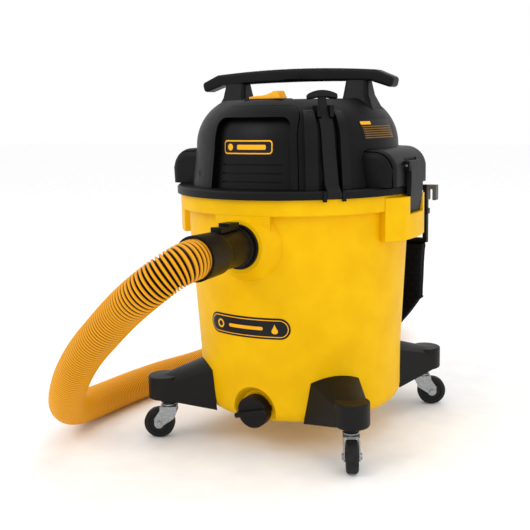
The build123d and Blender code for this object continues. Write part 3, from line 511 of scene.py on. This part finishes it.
bag_z = bag_high.z - 0.0025 - (bag_high.z - bag_low.z - 0.004) * np.linspace(0, 1, BAG_ROWS) ** 0.9
bag_turn = np.linspace(0, 2 * np.pi, BAG_COLUMNS, endpoint=False) + 0.001
turn_grid, z_grid = np.meshgrid(bag_turn, bag_z)
wide, deep = bag_plan(z_grid)
plan_x, plan_y = superellipse(turn_grid, wide, deep)
drop = (bag_high.z - z_grid) / (bag_high.z - bag_low.z)
crease = (np.sin(9 * turn_grid + 5 * drop) + 0.6 * np.sin(17 * turn_grid - 7 * drop + 1)
          + 0.8 * np.sin(3 * turn_grid + 11 * drop)) * 0.0011 * drop * (1 - drop ** 6)
pull = 1 - (0.004 * np.sin(np.pi * drop) + crease + 0.0012) / np.hypot(plan_x, plan_y).clip(0.02)
shell = np.stack([plan_x * pull, bag_middle.y + plan_y * pull, z_grid], axis=-1)
bag = grid_mesh("bag_shell", shell, pack_cloth, "drum", around=True, cap_end=True)
thick = bag.modifiers.new("cloth", "SOLIDIFY")
thick.thickness, thick.offset = 0.0012, -1
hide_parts("accessory_bag")


# %% [markdown]
# ### Binding, piping and loops
# A folded tape binds the mouth, a thin piping follows the seam above the bottom, and webbing loops carry
# the bag on the frame's lower bar. Each is a small profile carried round a closed path.


# %% Carried profiles
def closed_band(name, path, half_thick, half_tall, finish, body, corners=10):
    """An oval profile carried round a closed path of points, upright in z."""
    tangent = np.roll(path, -1, axis=0) - np.roll(path, 1, axis=0)
    tangent /= np.linalg.norm(tangent, axis=1)[:, None]
    lead = np.cross(tangent, (0, 0, 1))
    lead /= np.linalg.norm(lead, axis=1)[:, None].clip(1e-9)
    rise = np.cross(lead, tangent)
    spin = np.linspace(0, 2 * np.pi, corners, endpoint=False)
    points = (path[:, None, :] + half_thick * np.cos(spin)[None, :, None] * lead[:, None, :]
              + half_tall * np.sin(spin)[None, :, None] * rise[:, None, :])
    looped = np.concatenate([points, points[:1]])
    piece = grid_mesh(name, looped, finish, body, around=True)
    mesh_weld = piece.modifiers.new("join", "WELD")
    mesh_weld.merge_threshold = 0.00001
    return piece


tape_x, tape_y = superellipse(bag_turn, half_width - 0.0015, half_depth - 0.0012)
tape_path = np.stack([tape_x, bag_middle.y + tape_y, np.full_like(tape_x, bag_high.z - 0.006)], axis=-1)
tape = closed_band("bag_binding", tape_path, 0.0016, 0.0060, pack_cloth, "drum")
seam_width, seam_depth = bag_plan(np.full(1, BAG_TAPER_Z - 0.004))
seam_x, seam_y = superellipse(bag_turn, seam_width[0] - 0.003, seam_depth[0] - 0.003)
seam_path = np.stack([seam_x, bag_middle.y + seam_y, np.full_like(seam_x, BAG_TAPER_Z - 0.004)], axis=-1)
seam = closed_band("bag_piping", seam_path, 0.0022, 0.0022, pack_cloth, "drum")

LOOP_HALF = 0.012                       # half the width of a webbing loop
BAR_Y, BAR_Z = AXIS_Y + 0.233, 0.2935       # the middle of the frame's lower bar
for number, x in enumerate((-0.105, -0.035, 0.035, 0.105)):
    spin = np.linspace(0, 2 * np.pi, 40, endpoint=False)
    loop_y, loop_z = superellipse(spin, 0.0066, 0.0100, square=4.0)
    outline = np.stack([np.zeros_like(spin), BAR_Y + loop_y, BAR_Z + loop_z], axis=-1)
    levels = x + np.array([-LOOP_HALF, -LOOP_HALF + 0.0008, LOOP_HALF - 0.0008, LOOP_HALF])
    band = outline[None, :, :] + np.stack([levels, 0 * levels, 0 * levels], axis=-1)[:, None, :]
    loop = grid_mesh(f"bag_loop_{number + 1}", band, pack_cloth, "drum", around=True)
    wall_of_loop = loop.modifiers.new("webbing", "SOLIDIFY")
    wall_of_loop.thickness, wall_of_loop.offset = 0.0011, 0


# %% [markdown]
# ## Plates and labels
# The machine carries three plain plates: one on the head's front, one on the drum, one on the head's side.
# Ours hold no words, only simple shapes. Each shape is a patch wrapped round the body: its flat x becomes
# an angle, and the body's radius at that height, plus a lift, puts it on the skin.


# %% Plates
def drum_radius(z):
    """The drum's wall leans out in a straight line between two heights."""
    return 0.1726 + (z - 0.140) * (0.184 - 0.1726) / (0.345 - 0.140)


def dome_radius(z, sunk=0.0):
    """The head leans in a little up to 482 mm, then follows an arc of a circle."""
    lean = 0.1765 + (z - 0.421) * (0.1685 - 0.1765) / (0.482 - 0.421)
    three = np.array([(0.1685, 0.482), (0.1555, 0.527), (0.121, 0.5565)])
    equations = 2 * (three[1:] - three[0])
    centre_of_arc = np.linalg.solve(equations, (three[1:] ** 2).sum(axis=1) - (three[0] ** 2).sum())
    arc_r = np.hypot(*(three[0] - centre_of_arc))
    arc = centre_of_arc[0] + np.sqrt(np.maximum(arc_r ** 2 - (z - centre_of_arc[1]) ** 2, 0))
    return np.where(z < 0.482, lean, arc) - sunk


def wrap(name, flat_x, height, radius_at, middle_degrees, lift, finish, body, thickness=0.0004):
    """A flat patch laid on a round body; flat_x is measured along the skin from the middle angle."""
    r = radius_at(height) + lift
    turned = math.radians(middle_degrees) + flat_x / radius_at(height)
    points = np.stack([r * np.cos(turned), AXIS_Y + r * np.sin(turned), height], axis=-1)
    piece = grid_mesh(name, points, finish, body)
    solid = piece.modifiers.new("plate", "SOLIDIFY")
    solid.thickness, solid.offset = thickness, 0
    return piece


def rounded_patch(width, tall, corner, middle_x, middle_z, rows=17, columns=33):
    """A rectangle with round corners: each row is as wide as the corner circles allow."""
    v = tall / 2 * np.sin(np.linspace(-np.pi / 2, np.pi / 2, rows))
    over = np.maximum(np.abs(v) - (tall / 2 - corner), 0)
    half = width / 2 - corner + np.sqrt(np.maximum(corner ** 2 - over ** 2, 0))
    u = np.linspace(-1, 1, columns)
    return middle_x + u[None, :] * half[:, None], middle_z + np.repeat(v[:, None], columns, axis=1)


def ring_patch(inner, outer, middle_x, middle_z, squeeze=0.0):
    """A ring of points round a middle; squeeze pulls its top into a point, which makes a drop."""
    spin = np.linspace(0, 2 * np.pi, 41)
    r = np.linspace(inner, outer, 5)[:, None]
    x = r * np.cos(spin) * (1 - squeeze * (0.5 + 0.5 * np.sin(spin)) ** 1.5)
    z = r * np.sin(spin) * (1 + 0.45 * squeeze * (np.sin(spin) > 0) * np.sin(spin) ** 2)
    return middle_x + x, middle_z + z


PLATE_LIFT = 0.0003                     # each shape stands this much higher than the one below it


def plate_set(prefix, body, radius_at, middle_degrees, shapes):
    """Lay a list of shapes, each a little higher than the one before it."""
    for order, (label, patch, finish) in enumerate(shapes):
        lift = PLATE_LIFT + PLATE_LIFT * order
        piece = wrap(f"{prefix}_{label}", *patch, radius_at, middle_degrees, lift, finish, body)
        outward(piece)


def field_radius(z):
    """The floor of the front panel's recess, 8 mm inside the dome."""
    return dome_radius(z, sunk=0.008)


DRUM_LABEL_Z, BADGE_Z = 0.207, 0.485
RULES, RULE_TOP_Z, RULE_STEP = 6, 0.513, 0.0034
plate_set("drum_label", "drum", drum_radius, -92.6, [
    ("plaque", rounded_patch(0.150, 0.034, 0.017, 0, DRUM_LABEL_Z), plate_black),
    ("field", rounded_patch(0.144, 0.028, 0.014, 0, DRUM_LABEL_Z), plate_yellow),
    ("core", rounded_patch(0.141, 0.025, 0.0125, 0, DRUM_LABEL_Z), plate_black),
    ("ring", ring_patch(0.0045, 0.0072, -0.050, DRUM_LABEL_Z), plate_yellow),
    ("drop", ring_patch(0.0002, 0.0066, 0.050, 0.2055, squeeze=0.9), plate_yellow),
    ("bar", rounded_patch(0.062, 0.0055, 0.0027, 0, DRUM_LABEL_Z), plate_yellow),
])
plate_set("front_badge", "head", field_radius, -92.4, [
    ("plaque", rounded_patch(0.087, 0.021, 0.005, 0, BADGE_Z), plate_yellow),
    ("core", rounded_patch(0.083, 0.017, 0.0038, 0, BADGE_Z), plate_black),
    ("bar", rounded_patch(0.050, 0.0075, 0.0020, 0.008, BADGE_Z), plate_yellow),
    ("dot", ring_patch(0.0002, 0.0052, -0.030, BADGE_Z), plate_yellow),
])
side_shapes = [("plaque", rounded_patch(0.082, 0.030, 0.0015, 0, 0.508), plate_black),
               ("header", rounded_patch(0.022, 0.0048, 0.0008, -0.028, 0.5185), plate_yellow)]
for line_number in range(RULES):
    rule = rounded_patch(0.076, 0.0018, 0.0004, 0, RULE_TOP_Z - RULE_STEP * line_number, rows=5)
    side_shapes.append((f"rule_{line_number + 1}", rule, plate_amber))
plate_set("side_label", "head", dome_radius, -12.5, side_shapes)

# %% [markdown]
# ## Floor and light
# The portrait is made on a plain white floor under soft light. A large soft key stands high at the front
# left, a weaker fill at the right and another light above. The white world does most of the work, so black
# plastic shows its form by broad, faint reflections.


# %% Stage
def pale_floor():
    """Seamless paper: almost white and fully matte."""
    material, shader = new_material("floor_paper")
    fibre = grain(material, 0.05)
    link(material, two_tones(material, fibre.outputs["Fac"], "FAFAFA", "FFFFFF"), shader, "Base Color")
    shader.inputs["Roughness"].default_value = 1.0
    shader.inputs["Specular IOR Level"].default_value = 0.1
    return material


FLOOR = 12.0                            # half the floor's width
FLOOR_GAP = 0.0004                      # how far below the wheels the floor lies
floor_mesh = bpy.data.meshes.new("floor")
floor_corners = [(-FLOOR, -FLOOR, 0), (FLOOR, -FLOOR, 0), (FLOOR, FLOOR, 0), (-FLOOR, FLOOR, 0)]
floor_mesh.from_pydata(floor_corners, [], [(0, 1, 2, 3)])
floor_mesh.materials.append(pale_floor())
floor = bpy.data.objects.new("floor", floor_mesh)
bpy.context.scene.collection.objects.link(floor)
floor.location.z = -FLOOR_GAP

world = bpy.data.worlds.new("pale_room")
bpy.context.scene.world = world
world.use_nodes = True
backdrop = world.node_tree.nodes["Background"]
backdrop.inputs["Color"].default_value = (1, 1, 1, 1)
backdrop.inputs["Strength"].default_value = 1.0


def soft_light(name, place, target, size, power):
    """A rectangular area light that looks at a target."""
    light = bpy.data.objects.new(name, bpy.data.lights.new(name, "AREA"))
    light.data.shape = "RECTANGLE"
    light.data.size, light.data.size_y = size
    light.data.energy = power
    light.location = place
    light.rotation_euler = (Vector(target) - Vector(place)).to_track_quat("-Z", "Y").to_euler()
    bpy.context.scene.collection.objects.link(light)


soft_light("key", (-1.2, -2.2, 2.2), (0, 0, 0.3), (1.4, 1.4), 22)
soft_light("fill", (2.4, -1.2, 1.3), (0, 0, 0.3), (0.9, 1.8), 8)
soft_light("top", (0.2, 0.6, 2.6), (0, 0, 0.4), (1.6, 1.2), 7)
bpy.context.scene.view_settings.view_transform = "Standard"
